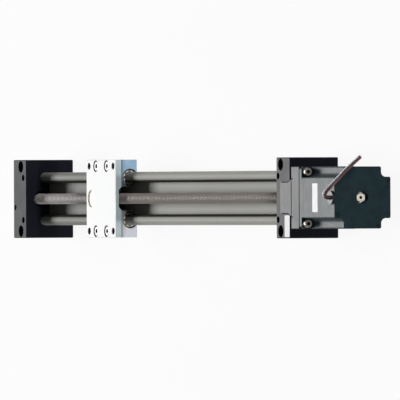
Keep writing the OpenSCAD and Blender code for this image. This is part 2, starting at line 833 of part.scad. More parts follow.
module coupling_set_screws() {
    ends = [[hub_a_x, journal_d], [hub_b_x, shaft_d]];
    color([0.1, 0.1, 0.1]) for (e = ends)
        translate([e[0] + hub_l / 2, -e[1] / 2 - seat_gap, screw_z]) rotate([90, 0, 0])
            grub_screw(hub_screw_d - 2 * fit, coupling_d / 2 - e[1] / 2 - hub_screw_recess);
}

// Section of the motor's body: a square whose four corners are notched.
module motor_section() {
    flat = 2 * motor_flat;
    rounded_square([motor_sq, flat], tip_r);
    rounded_square([flat, motor_sq], tip_r);
    for (a = [0 : 90 : 270]) rotate(a) difference() {
        translate([motor_flat - past, motor_flat - past]) square(notch_r + past);
        translate([motor_flat + notch_r, motor_flat + notch_r]) circle(notch_r);
    }
}

module on_axis(x, l) {
    translate([0, 0, screw_z]) push(x, l) children();
}

module body_screw_places() {
    for (a = [0 : 90 : 270]) translate([0, 0, screw_z]) rotate([a, 0, 0])
        translate([0, body_screw_r.x, body_screw_r.y - screw_z]) children();
}

module motor_front_bell() {
    color([0.5, 0.54, 0.55]) difference() {
        union() {
            on_axis(motor_face, motor_plate_t) rounded_square([motor_sq, motor_sq], plate_r);
            on_axis(motor_face, front_bell_l) motor_section();
            bar(motor_face - pilot_h, pilot_h + past, pilot_d / 2);
        }
        bar(motor_face - past - pilot_h, front_bell_l + pilot_h + 2 * past, end_hole_r);
        bar(front_bearing_x, bearing_w + past, bearing_d / 2);
        difference() {
            bar(stator_start - coil_head - coil_room, coil_head + coil_room + past, coil_r);
            bar(stator_start - coil_head - past, coil_head + 3 * past, bell_hub_r);
        }
        motor_bolt_places() bar(motor_face - past, motor_plate_t + 2 * past,
            motor_bolt_d / 2 + bolt_gap);
        body_screw_places() bar(motor_face + body_screw_start, front_bell_l,
            body_screw_d / 2 + fit);
    }
}

// Laminated stack: a notched ring with eight teeth that reach in to the rotor.
module motor_stator() {
    stack = stator_end - stator_start;
    color([0.45, 0.48, 0.49]) difference() {
        on_axis(stator_start, stack) difference() {
            motor_section();
            difference() {
                circle(coil_r);
                for (i = [0 : teeth - 1]) rotate(i * 360 / teeth) {
                    translate([0, -tooth_w / 2]) square([coil_r + past, tooth_w]);
                    intersection() {
                        circle(stator_bore_r + shoe_tip);
                        translate([0, -shoe_w_tooth / 2]) square([coil_r, shoe_w_tooth]);
                    }
                }
            }
            circle(stator_bore_r);
        }
        body_screw_places() bar(stator_start - past, stack + 2 * past,
            body_screw_d / 2 + bolt_gap);
    }
}

// One winding round each tooth.
module motor_coils() {
    stack = stator_end - stator_start;
    inner = stator_bore_r + shoe_tip + coil_gap;
    gap_w = tooth_w + 2 * coil_gap;
    depth = sqrt(pow(coil_r - coil_gap, 2) - pow(gap_w / 2 + coil_side, 2)) - inner;
    color([0.7, 0.35, 0.15]) for (i = [0 : teeth - 1])
        translate([stator_start, 0, screw_z]) rotate([i * 360 / teeth, 0, 0])
            translate([0, 0, inner]) difference() {
                translate([-coil_side - coil_gap, -gap_w / 2 - coil_side, 0])
                    cube([stack + 2 * (coil_side + coil_gap), gap_w + 2 * coil_side, depth]);
                translate([-coil_gap, -gap_w / 2, -past])
                    cube([stack + 2 * coil_gap, gap_w, depth + 2 * past]);
            }
}

module motor_rear_bell() {
    color([0.16, 0.22, 0.25]) difference() {
        on_axis(stator_end, rear_bell_l) motor_section();
        bar(stator_end - past, rear_bell_l + 2 * past, end_hole_r);
        bar(rear_face - rear_hole_depth, rear_hole_depth + past, rear_hole_d / 2);
        bar(rear_bearing_x - past, bearing_w + past, bearing_d / 2);
        difference() {
            bar(stator_end - past, coil_head + coil_room + past, coil_r);
            bar(stator_end - 2 * past, coil_head + 4 * past, bell_hub_r);
        }
        body_screw_places() {
            bar(stator_end - past, rear_bell_l + 2 * past, body_screw_d / 2 + bolt_gap);
            bar(rear_face - body_head_h - body_head_recess, body_head_h + past,
                body_head_d / 2 + bolt_gap);
        }
        translate([grommet_x, 0, motor_top - lead_tail])
            cylinder(h = 2 * lead_tail, d = lead_hole_d);
    }
}

module motor_shaft() {
    front = motor_face - shaft_l;
    rear_journal_end = rear_bearing_x + bearing_w;
    hex_back = rear_face - shaft_hex_depth - shaft_hex_t;
    color("silver") difference() {
        union() {
            bar(front, front_bearing_x - front, shaft_d / 2 - fit);
            bar(front_bearing_x, rear_journal_end - front_bearing_x, journal_d / 2 - fit);
            bar(rear_journal_end, hex_back - rear_journal_end, shaft_d / 2);
        }
        bar(hex_back - shaft_hole_depth, shaft_hole_depth + past, shaft_hex_hole_d / 2);
    }
}

// Two iron cups on either side of a magnet.
module motor_rotor() {
    start = stator_start + rotor_inset;
    l = rear_bearing_x - rotor_inset - start;
    cup = (l - magnet_t) / 2;
    color([0.4, 0.4, 0.42]) difference() {
        union() {
            bar(start, cup, rotor_d / 2);
            bar(start + cup, magnet_t, magnet_r);
            bar(start + cup + magnet_t, cup, rotor_d / 2);
        }
        bar(start - past, l + 2 * past, journal_d / 2);
    }
}

module motor_bearing_outer_rings() {
    color("silver") for (x = [front_bearing_x, rear_bearing_x]) outer_ring(x);
}

module motor_bearing_inner_rings() {
    color("silver") for (x = [front_bearing_x, rear_bearing_x]) inner_ring(x);
}

module motor_bearing_balls() {
    color("silver") for (x = [front_bearing_x, rear_bearing_x]) ball_set(x);
}

module motor_mount_screws() {
    seat = motor_face + motor_plate_t + washer_t;
    color([0.75, 0.72, 0.68]) motor_bolt_places() translate([seat, 0, screw_z])
        rotate([0, 90, 0]) cap_screw(motor_bolt_d, washer_t + motor_plate_t + motor_thread,
            motor_head_d, motor_bolt_d);
}

module motor_mount_washers() {
    x = motor_face + motor_plate_t;
    color([0.8, 0.8, 0.8]) motor_bolt_places() difference() {
        bar(x, washer_t, motor_head_d / 2 + mount_washer_rim);
        bar(x - past, washer_t + 2 * past, motor_bolt_d / 2 + bolt_gap);
    }
}

module motor_body_screws() {
    seat = rear_face - body_head_h - body_head_recess;
    l = seat - motor_face - body_screw_start - body_screw_thread_gap;
    color([0.15, 0.15, 0.15]) body_screw_places() translate([seat, 0, screw_z])
        rotate([0, 90, 0]) cap_screw(body_screw_d, l, body_head_d, body_head_h);
}

module shaft_hex() {
    x = rear_face - shaft_hex_depth - shaft_hex_t;
    color("ivory") difference() {
        hex_bar(x, shaft_hex_t, shaft_hex_af);
        bar(x - past, shaft_hex_t + 2 * past, shaft_hex_hole_d / 2);
    }
}

// Rubber grommet: a plug in the rear bell's hole and a low flange on top.
module lead_grommet() {
    color([0.15, 0.15, 0.16]) translate([grommet_x, 0, motor_top]) difference() {
        union() {
            cylinder(h = grommet_h, d = grommet_d);
            translate([0, 0, -grommet_plug])
                cylinder(h = grommet_plug + grommet_h, d = lead_hole_d - 2 * fit);
        }
        translate([0, 0, -lead_tail - past]) cylinder(h = 2 * lead_tail, d = grommet_bore_d);
    }
}

function unit(v) = v / norm(v);

// Direction of the route at point i.
function heading(path, i) =
    unit(path[min(i + 1, len(path) - 1)] - path[max(i - 1, 0)]);

// The bundle's route moved by a lead's place in it: across the bend and in its plane.
function lead_path(across, up) = [
    for (i = [0 : len(LEAD_ROUTE) - 1])
        let (t = heading(LEAD_ROUTE, i))
        let (side = unit(LEAD_SIDE - t * (LEAD_SIDE * t)))
        let (rise = cross(side, t))
        let (r = lead_d * lead_spread)
        LEAD_ROUTE[i] + [rear_face, 0, motor_top] + r * (across * side + up * rise)
];

// A round tube swept along a path.
module lead(across, up) {
    path = lead_path(across, up);
    n = len(path);
    rings = [for (i = [0 : n - 1])
        let (t = heading(path, i))
        let (side = unit(LEAD_SIDE - t * (LEAD_SIDE * t)))
        let (rise = cross(t, side))
        for (k = [0 : LEAD_SIDES - 1])
            path[i] + lead_d / 2 * (cos(k * 360 / LEAD_SIDES) * side
                + sin(k * 360 / LEAD_SIDES) * rise)
    ];
    walls = [for (i = [0 : n - 2], k = [0 : LEAD_SIDES - 1])
        let (a = i * LEAD_SIDES + k, b = i * LEAD_SIDES + (k + 1) % LEAD_SIDES)
        each [[a, b + LEAD_SIDES, b], [a, a + LEAD_SIDES, b + LEAD_SIDES]]
    ];
    first = [for (k = [0 : LEAD_SIDES - 1]) k];
    last = [for (k = [LEAD_SIDES - 1 : -1 : 0]) (n - 1) * LEAD_SIDES + k];
    polyhedron(rings, concat(walls, [first, last]));
}

module lead_white() { color([0.9, 0.9, 0.9]) lead(-1, 1); }
module lead_blue() { color([0.2, 0.3, 0.6]) lead(-1, -1); }
module lead_red() { color([0.7, 0.1, 0.1]) lead(1, -1); }
module lead_black() { color([0.1, 0.1, 0.1]) lead(1, 1); }

idle_block();
drive_block();
twin_rail();
rail_clamp_screws();
bearing_set_screw();
idle_bearing_outer_ring();
idle_bearing_inner_ring();
idle_bearing_balls();
drive_bearing_outer_rings();
drive_bearing_inner_rings();
drive_bearing_balls();
lead_screw();
screw_lock_nut();
carriage_plate();
bearing_block_left();
bearing_block_right();
liners_left();
liners_right();
carriage_screws();
screw_nut();
motor_adapter();
adapter_screws();
coupling_hub_screw_side();
coupling_hub_motor_side();
coupling_spider();
coupling_set_screws();
motor_front_bell();
motor_stator();
motor_coils();
motor_rear_bell();
motor_shaft();
motor_rotor();
motor_bearing_outer_rings();
motor_bearing_inner_rings();
motor_bearing_balls();
motor_mount_screws();
motor_mount_washers();
motor_body_screws();
shaft_hex();
lead_grommet();
lead_white();
lead_blue();
lead_red();
lead_black();
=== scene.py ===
import math

import bpy
from mathutils import Matrix, Vector


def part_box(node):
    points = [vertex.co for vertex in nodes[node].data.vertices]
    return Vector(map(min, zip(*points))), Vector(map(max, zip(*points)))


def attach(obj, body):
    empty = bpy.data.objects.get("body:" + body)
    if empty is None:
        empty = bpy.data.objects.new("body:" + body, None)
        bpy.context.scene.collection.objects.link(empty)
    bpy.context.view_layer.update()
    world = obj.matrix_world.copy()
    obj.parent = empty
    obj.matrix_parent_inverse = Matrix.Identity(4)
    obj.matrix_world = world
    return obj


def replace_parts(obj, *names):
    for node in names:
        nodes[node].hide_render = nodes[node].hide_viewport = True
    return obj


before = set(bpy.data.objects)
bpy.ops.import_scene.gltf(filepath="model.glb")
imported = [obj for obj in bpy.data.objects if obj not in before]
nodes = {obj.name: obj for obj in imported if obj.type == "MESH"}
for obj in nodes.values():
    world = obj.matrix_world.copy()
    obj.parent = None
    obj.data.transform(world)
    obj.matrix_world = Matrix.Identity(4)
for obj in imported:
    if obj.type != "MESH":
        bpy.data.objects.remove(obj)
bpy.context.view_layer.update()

# --- Twin rail -----------------------------------------------------------------------------
# One drawn aluminium extrusion, hard anodised: two round rails on a grooved web. It slides
# into both end blocks and is clamped there. Drawing leaves fine lines along its length.


class Out:
    """One output of a tree's nodes. Arithmetic on it adds Math nodes."""

    def __init__(self, tree, socket):
        self.tree, self.socket = tree, socket

    def math(self, operation, *values):
        return self.tree.node("ShaderNodeMath", self, *values, operation=operation)

    def backwards(self, operation, value):
        return self.tree.node("ShaderNodeMath", value, self, operation=operation)

    def __add__(self, other): return self.math("ADD", other)
    def __radd__(self, other): return self.math("ADD", other)
    def __sub__(self, other): return self.math("SUBTRACT", other)
    def __rsub__(self, other): return self.backwards("SUBTRACT", other)
    def __mul__(self, other): return self.math("MULTIPLY", other)
    def __rmul__(self, other): return self.math("MULTIPLY", other)
    def __truediv__(self, other): return self.math("DIVIDE", other)
    def __rtruediv__(self, other): return self.backwards("DIVIDE", other)
    def __pow__(self, other): return self.math("POWER", other)
    def __gt__(self, other): return self.math("GREATER_THAN", other)
    def __lt__(self, other): return self.math("LESS_THAN", other)

    def between(self, low, high):
        """0 below low, 1 above high and smooth in between."""
        return self.tree.node("ShaderNodeMapRange", self, low, high, 0.0, 1.0,
                              interpolation_type="SMOOTHSTEP")


class Tree:
    """A node tree, to which node() adds any node."""

    def node(self, kind, *values, out=0, named=None, **settings):
        """Adds a node: its settings first, then the values or links of its sockets, in their
        order or by name. Returns the output that out names or counts."""
        made = self.nodes.new(kind)
        for key, value in settings.items():
            setattr(made, key, value)
        open_sockets = [s for s in made.inputs if s.enabled]
        pairs = list(zip(open_sockets, values))
        pairs += [(made.inputs[key], value) for key, value in (named or {}).items()]
        for socket, value in pairs:
            if isinstance(value, Out):
                self.links.new(value.socket, socket)
            elif value is not None:
                colour = socket.type == "RGBA" and len(value) == 3
                socket.default_value = (*value, 1.0) if colour else value
        outputs = [s for s in made.outputs if s.enabled]
        return Out(self, made.outputs[out] if isinstance(out, str) else outputs[out])


SCREW_AXIS = 33.5  # height of the line that screw and motor turn about, in millimetres


class Finish(Tree):
    """A material. Its shader's own sockets take the constants given here."""

    def __init__(self, name, **constants):
        self.material = bpy.data.materials.new(name)
        self.material.use_nodes = True
        self.nodes, self.links = self.material.node_tree.nodes, self.material.node_tree.links
        self.shader = self.nodes["Principled BSDF"]
        for socket, value in constants.items():
            self.shader.inputs[socket.replace("_", " ")].default_value = value
        point = self.node("ShaderNodeTexCoord", out="Object")
        self.point = self.node("ShaderNodeVectorMath", point, (1000.0,) * 3,
                               operation="MULTIPLY")

    def noise(self, size, stretch=(1.0, 1.0, 1.0), detail=2.0):
        """Noise from 0 to 1 whose grain is size millimetres, divided by stretch."""
        spot = self.node("ShaderNodeVectorMath", self.point, tuple(s / size for s in stretch),
                         operation="MULTIPLY")
        return self.node("ShaderNodeTexNoise", named={"Vector": spot, "Scale": 1.0,
                                                      "Detail": detail}, out="Fac")

    def axes(self):
        """The point's X, Y and Z, in millimetres."""
        return [self.node("ShaderNodeSeparateXYZ", self.point, out=i) for i in range(3)]

    def radius(self, y=0.0, z=SCREW_AXIS, up_by=0.0):
        """Millimetres from a line along X, mirrored to both sides where y isn't 0 and above
        and below z where up_by isn't 0."""
        _, across, up = self.axes()
        across = across.math("ABSOLUTE") - y if y else across
        up = (up - z).math("ABSOLUTE") - up_by if up_by else up - z
        return (across * across + up * up) ** 0.5

    def blend(self, amount, first, second):
        """The first colour, turning to the second with amount."""
        return self.node("ShaderNodeMix", amount, first, second, data_type="RGBA")

    def edges(self, reach):
        """1 on edges that wear, to reach millimetres from them, and 0 on flat faces."""
        soft = self.node("ShaderNodeBevel", reach / 1000, samples=4)
        hard = self.node("ShaderNodeNewGeometry", out="Normal")
        turned = self.node("ShaderNodeVectorMath", soft, hard, operation="DOT_PRODUCT",
                           out="Value")
        return (1.0 - turned).between(0.02, 0.2)

    def surface(self, colour, roughness, height, depth, broken=0.3):
        """Feeds colour, roughness, a relief from 0 to 1 worth depth millimetres, and edges
        broken to a radius in millimetres."""
        shader = self.shader.inputs
        self.links.new(colour.socket, shader["Base Color"])
        self.links.new(roughness.socket, shader["Roughness"])
        rounded = self.node("ShaderNodeBevel", broken / 1000, samples=4) if broken else None
        relief = self.node("ShaderNodeBump", named={
            "Height": height, "Strength": 1.0, "Distance": depth / 1000, "Normal": rounded})
        self.links.new(relief.socket, shader["Normal"])
        return self

    def on(self, *names):
        """Dresses CAD nodes in this finish."""
        for name in names:
            nodes[name].data.materials.clear()
            nodes[name].data.materials.append(self.material)
        return self


RAIL_PALE = (0.375, 0.370, 0.335)
RAIL_DEEP = (0.285, 0.280, 0.250)
RAIL_PAINTED_SHADE = (0.06, 0.06, 0.060)
RAIL_GROOVE_SHADE = (0.010, 0.010, 0.008)
SHADE_UNTIL, SHADE_CLEARS_FROM = -190, 40
GROOVE_FLANK, GROOVE_LIP = (14.75, 15.05), (16.9, 17.5)
rail = Finish("hard anodised drawn rail", Metallic=0.0, Specular_IOR_Level=0.04)
die_lines = rail.noise(0.32, (0.004, 1, 1), detail=3)
broad_streaks = rail.noise(2.4, (0.01, 1, 1))
handling = rail.noise(38, (1, 1, 1), detail=4)
# Painted shade darkens the grooves and the rails' flanks beside them, and more painted shade
# darkens the film towards the idle end.
along, across, _ = rail.axes()
from_middle = across.math("ABSOLUTE")
# Painted shade: the grooves and the rails' inner flanks are darkened.
painted_groove_shade = from_middle.between(*GROOVE_FLANK) * (1.0 - from_middle.between(*GROOVE_LIP))
film = rail.blend(broad_streaks * 0.5 + die_lines * 0.3 + handling * 0.2, RAIL_DEEP, RAIL_PALE)
# Painted shade: the film is dimmed towards the idle end.
film = rail.blend(along.between(SHADE_UNTIL, SHADE_CLEARS_FROM), rail.blend(0.54, film, RAIL_PAINTED_SHADE), film)
rail.surface(rail.blend(painted_groove_shade * 0.97, film, RAIL_GROOVE_SHADE),
             0.44 + die_lines * 0.12 + handling * 0.06 + painted_groove_shade * 0.4,
             die_lines, 0.004).on("twin_rail")

# --- End blocks ----------------------------------------------------------------------------
# Two blocks milled from aluminium bar, blasted and black anodised, with chamfered edges.
# Each stands on the machine frame, clamps the rails and seats the screw's ball bearings.

BLOCK_BLACK = (0.0030, 0.0036, 0.0068)
BLOCK_WORN = (0.03, 0.032, 0.04)
CUTTER_STEP, CUTTER_ARC = 3.2, 180


def black_anodised(name, rough, scribed=None):
    """Blasted and black anodised: a fine grain, cloudy patches and paler worn edges. Where
    scribed is given, a mask made from the point's axes, the film is cut to a dull groove."""
    made = Finish(name, Specular_IOR_Level=0.07)
    grain = made.noise(0.22, detail=3)
    clouds = made.noise(14, detail=4)
    x, y, z = made.axes()
    passes = ((x + y * y / CUTTER_ARC) * (math.tau / CUTTER_STEP)).math("SINE") * 0.5 + 0.5
    wear = made.edges(0.5) * made.noise(2.2, detail=3).between(0.42, 0.62)
    colour = made.blend(clouds.between(0.3, 0.7) * 0.45, BLOCK_BLACK,
                        tuple(v * 1.5 for v in BLOCK_BLACK))
    roughness = rough + clouds * 0.08 + grain * 0.05 - wear * 0.05
    if scribed:
        roughness = roughness + scribed(x, y, z) * 0.5
    return made.surface(made.blend(wear * 0.7, colour, BLOCK_WORN), roughness,
                        grain * 0.8 + passes * 0.2, 0.008, broken=0.6)


black_anodised("black anodised idle block", 0.58).on("idle_block")
black_anodised("black anodised drive block", 0.52).on("drive_block")


def black_oxide(name):
    """Black oxide on alloy steel, rubbed bright on the edges that tools touch."""
    made = Finish(name, Metallic=0.8)
    film = made.noise(0.6, detail=3)
    rubbed = made.edges(0.25) * made.noise(0.9).between(0.35, 0.6)
    colour = made.blend(film, (0.030, 0.030, 0.034), (0.062, 0.060, 0.062))
    return made.surface(made.blend(rubbed, colour, (0.34, 0.33, 0.32)),
                        0.34 + film * 0.2, film, 0.006)


black_oxide("black oxide screw").on(
    "rail_clamp_screws", "bearing_set_screw", "adapter_screws", "screw_lock_nut",
    "coupling_set_screws", "motor_mount_washers")

# --- Ball bearings -------------------------------------------------------------------------
# Deep groove bearings of ground chrome steel with sheet shields: one at the idle end, a
# pair at the drive end and two in the motor. Their rings are pressed into blocks and bells.


def ground_steel(name, pale=(0.62, 0.62, 0.63), deep=(0.42, 0.42, 0.44), rough=0.16):
    """Turned and ground steel: rings of fine lines round the screw's axis."""
    made = Finish(name, Metallic=1.0)
    x, *_ = made.axes()
    rings = made.node("ShaderNodeTexNoise", (made.radius() + x) * 4.0,
                      noise_dimensions="1D", named={"Scale": 1.0, "Detail": 3.0}, out="Fac")
    stain = made.noise(6, detail=3)
    return made.surface(made.blend(rings * 0.5 + stain * 0.5, deep, pale),
                        rough + rings * 0.12 + stain * 0.08, rings, 0.002)


ground_steel("ground bearing steel").on(
    "idle_bearing_outer_ring", "idle_bearing_inner_ring", "idle_bearing_balls",
    "drive_bearing_outer_rings", "drive_bearing_inner_rings", "drive_bearing_balls",
    "motor_bearing_outer_rings", "motor_bearing_inner_rings", "motor_bearing_balls")

# --- Lead screw ----------------------------------------------------------------------------
# Rolled steel, 10 mm, four right-hand starts of 3 mm, so one turn moves the carriage 12 mm.
# Its turned journals run in the end blocks' bearings, and the drive one ends in a coupling.
# Painted light makes the crests brighter towards the idle end.


class Recipe(Tree):
    """A Geometry Nodes tree with named sizes, run once to make a plain mesh."""

    def __init__(self, name):
        self.group = bpy.data.node_groups.new(name, "GeometryNodeTree")
        self.group.interface.new_socket("Mesh", in_out="OUTPUT",
                                        socket_type="NodeSocketGeometry")
        self.nodes, self.links = self.group.nodes, self.group.links
        self.entry = self.nodes.new("NodeGroupInput")
        self.sizes = {}

    def size(self, name, value):
        """A named input with its value."""
        kind = "NodeSocketInt" if isinstance(value, int) else "NodeSocketFloat"
        made = self.group.interface.new_socket(name, in_out="INPUT", socket_type=kind)
        self.sizes[made.identifier] = value
        return Out(self, self.entry.outputs[name])

    def mesh(self, name, result, finish, smooth=30.0):
        """Runs the tree on an empty mesh and returns the result as a plain object."""
        whole = self.node("GeometryNodeRealizeInstances", result)
        dressed = self.node("GeometryNodeSetMaterial",
                            named={"Geometry": whole, "Material": finish.material})
        leave = self.nodes.new("NodeGroupOutput")
        self.links.new(dressed.socket, leave.inputs["Mesh"])
        bare = bpy.data.objects.new(name + "_recipe", bpy.data.meshes.new(name + "_recipe"))
        bpy.context.scene.collection.objects.link(bare)
        step = bare.modifiers.new("recipe", "NODES")
        step.node_group = self.group
        for identifier, value in self.sizes.items():
            step[identifier] = value
        bare.data.materials.append(finish.material)
        graph = bpy.context.evaluated_depsgraph_get()
        plain = bpy.data.meshes.new_from_object(bare.evaluated_get(graph), depsgraph=graph)
        bpy.data.objects.remove(bare)
        return piece(name, plain, finish, smooth)


def piece(name, mesh, finish, smooth=30.0):
    """A piece from a mesh in metres, smooth except where faces meet at over smooth degrees."""
    mesh.materials.clear()
    mesh.materials.append(finish.material)
    mesh.shade_smooth()
    mesh.set_sharp_from_angle(angle=math.radians(smooth))
    made = bpy.data.objects.new(name, mesh)
    bpy.context.scene.collection.objects.link(made)
    return made


def joined(name, *parts):
    """Several pieces as one, under the first one's finish."""
    bpy.ops.object.select_all(action="DESELECT")
    for part in parts:
        part.select_set(True)
    bpy.context.view_layer.objects.active = parts[0]
    bpy.ops.object.join()
    parts[0].name = name
    return parts[0]


SCREW_SIDES = 48


def lathe(name, profile, finish, around=SCREW_SIDES):
    """A solid turned about the screw's axis, from (x, radius) points with 0 at both ends."""
    points, faces = [], []
    for x, r in profile:
        ring = [(x, r * math.cos(a), SCREW_AXIS / 1000 + r * math.sin(a))
                for a in (math.tau * k / around for k in range(around))]
        points.append(ring if r > 0 else ring[:1])
    starts = [sum(len(p) for p in points[:i]) for i in range(len(points))]
    for i in range(len(points) - 1):
        a, b = starts[i], starts[i + 1]
        for k in range(around):
            n = (k + 1) % around
            if len(points[i]) == 1:
                faces.append((a, b + k, b + n))
            elif len(points[i + 1]) == 1:
                faces.append((a + n, a + k, b))
            else:
                faces.append((a + n, a + k, b + k, b + n))
    mesh = bpy.data.meshes.new(name)
    mesh.from_pydata([p for ring in points for p in ring], [], faces)
    return piece(name, mesh, finish)


screw_steel = Finish("rolled screw steel", Metallic=0.08, Specular_IOR_Level=0.05)
SCREW_DARK, SCREW_OILED = (0.10, 0.085, 0.075), (0.16, 0.145, 0.13)
CREST_DEEP, CREST_PALE = (0.300, 0.265, 0.242), (0.350, 0.315, 0.292)
CREST_PAINTED_LIGHT = (0.515, 0.480, 0.485)
CREST_FROM, PAINTED_LIGHT_FADES = (4.55, 4.9), (-190, -70)
crest = screw_steel.radius().between(*CREST_FROM)
along, *_ = screw_steel.axes()
# Painted light: the crests brighten towards the idle end.
painted_light = 1.0 - along.between(*PAINTED_LIGHT_FADES)
rolled = screw_steel.noise(0.5, (0.3, 1, 1), detail=3)
grease_and_shade = screw_steel.noise(9, detail=3)
flanks = screw_steel.blend(grease_and_shade, SCREW_DARK, SCREW_OILED)
crests = screw_steel.blend(painted_light, screw_steel.blend(rolled, CREST_DEEP, CREST_PALE),
                           CREST_PAINTED_LIGHT)
screw_steel.surface(screw_steel.blend(crest, flanks, crests),
                    0.52 - crest * 0.04 + rolled * 0.06, rolled, 0.004, broken=0)

# The thread runs from a float past the idle bearing to the drive bearings, and the journals
# reach a little into it.
SCREW_LOW, SCREW_HIGH = (corner.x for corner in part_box("lead_screw"))
SCREW_FLOAT, THREAD_OVERLAP = 0.0015, 0.0001
THREAD_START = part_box("idle_bearing_inner_ring")[1].x + SCREW_FLOAT
THREAD_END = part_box("drive_bearing_inner_rings")[0].x
ROOT_R, CREST_R, JOURNAL_R = 0.0036, 0.005, 0.00398
JOURNAL_TIP_R, JOURNAL_CHAMFER = 0.0034, 0.0005
LEAD_PER_TURN, THREAD_RINGS, FLANK = 0.012, 1181, (0.24, 0.70)
thread = Recipe("rolled four start thread")
start, end = thread.size("Start", THREAD_START), thread.size("End", THREAD_END)
height = thread.size("Axis height", SCREW_AXIS / 1000)
lead = thread.size("Lead", LEAD_PER_TURN)
root, tip = thread.size("Root radius", ROOT_R), thread.size("Crest radius", CREST_R)
starts = thread.size("Starts", 4)
rings = thread.size("Rings", THREAD_RINGS)
line = thread.node("GeometryNodeCurvePrimitiveLine",
                   thread.node("ShaderNodeCombineXYZ", start, 0.0, height),
                   thread.node("ShaderNodeCombineXYZ", end, 0.0, height))
line = thread.node("GeometryNodeResampleCurve", named={"Curve": line, "Count": rings})
along = thread.node("ShaderNodeSeparateXYZ", thread.node("GeometryNodeInputPosition"))
line = thread.node("GeometryNodeSetCurveTilt", named={"Curve": line,
                                                      "Tilt": along * math.tau / lead})
circle = thread.node("GeometryNodeCurvePrimitiveCircle",
                     named={"Resolution": SCREW_SIDES, "Radius": 1.0})
spot = thread.node("GeometryNodeInputPosition")
px, py = (thread.node("ShaderNodeSeparateXYZ", spot, out=i) for i in (0, 1))
phase = (py.math("ARCTAN2", px) * starts / math.tau + 8.0).math("FRACT")
ridge = (1.0 - (phase - 0.5).math("ABSOLUTE") * 2.0).between(*FLANK)
section = thread.node("GeometryNodeSetPosition", named={
    "Geometry": circle,
    "Position": thread.node("ShaderNodeVectorMath", operation="SCALE",
                            named={"Vector": spot, "Scale": root + (tip - root) * ridge})})
swept = thread.node("GeometryNodeCurveToMesh", named={
    "Curve": line, "Profile Curve": section, "Fill Caps": True})
threaded = thread.mesh("thread", swept, screw_steel, smooth=34)
journals = [
    lathe(name, [(low, 0), (low, JOURNAL_TIP_R), (low + JOURNAL_CHAMFER, JOURNAL_R),
                 (high - JOURNAL_CHAMFER, JOURNAL_R), (high, JOURNAL_TIP_R), (high, 0)],
          screw_steel)
    for name, low, high in (("idle_journal", SCREW_LOW, THREAD_START + THREAD_OVERLAP),
                            ("drive_journal", THREAD_END - THREAD_OVERLAP, SCREW_HIGH))]
lead_screw = joined("rolled_lead_screw", threaded, *journals)
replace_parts(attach(lead_screw, "spindle"), "lead_screw")

# --- Carriage ------------------------------------------------------------------------------
# Two C-shaped bearing blocks under a plate, milled from aluminium and clear anodised, held
# by four black cap screws. They carry the payload over the rails.

# All in millimetres: holes and the nut's boss from the plate's middle, a rail's place across
# and up, and the radius of the liner on it.
HOLE_Y, THREAD_X, THREAD_R, COUNTERBORE_X, COUNTERBORE_R = 30.5, 27.0, 3.0, 12.0, 5.5
BOSS_X, BOSS_R = -22.5, 8.0
ROD = (20.0, 29.5)
LINER_R = 6.7
EDGE, FACE_MILL_ARC = 0.1, 90
# How far the painted shade reaches on the end that faces the motor: from the middle, and
# below the plate.
SHADE_ACROSS, SHADE_BELOW = (19.0, 23.5), (-2.0, 5.5)
COUNTERBORE_SHADE, THREAD_OIL_AND_SHADE, BOSS_WALL_PAINTED_LIGHT = (0.20, 0.15, 0.14), (0.15, 0.15, 0.145), (0.97, 0.94, 0.84)
BURNISHED, SEAM_DUST_AND_SHADE = (0.93, 0.94, 0.95), (0.012, 0.016, 0.020)
CARRIAGE_X = sum(corner.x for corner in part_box("carriage_plate")) * 500
CARRIAGE_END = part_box("carriage_plate")[1].x * 1000
PLATE_LOW, PLATE_TOP = (corner.z * 1000 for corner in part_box("carriage_plate"))


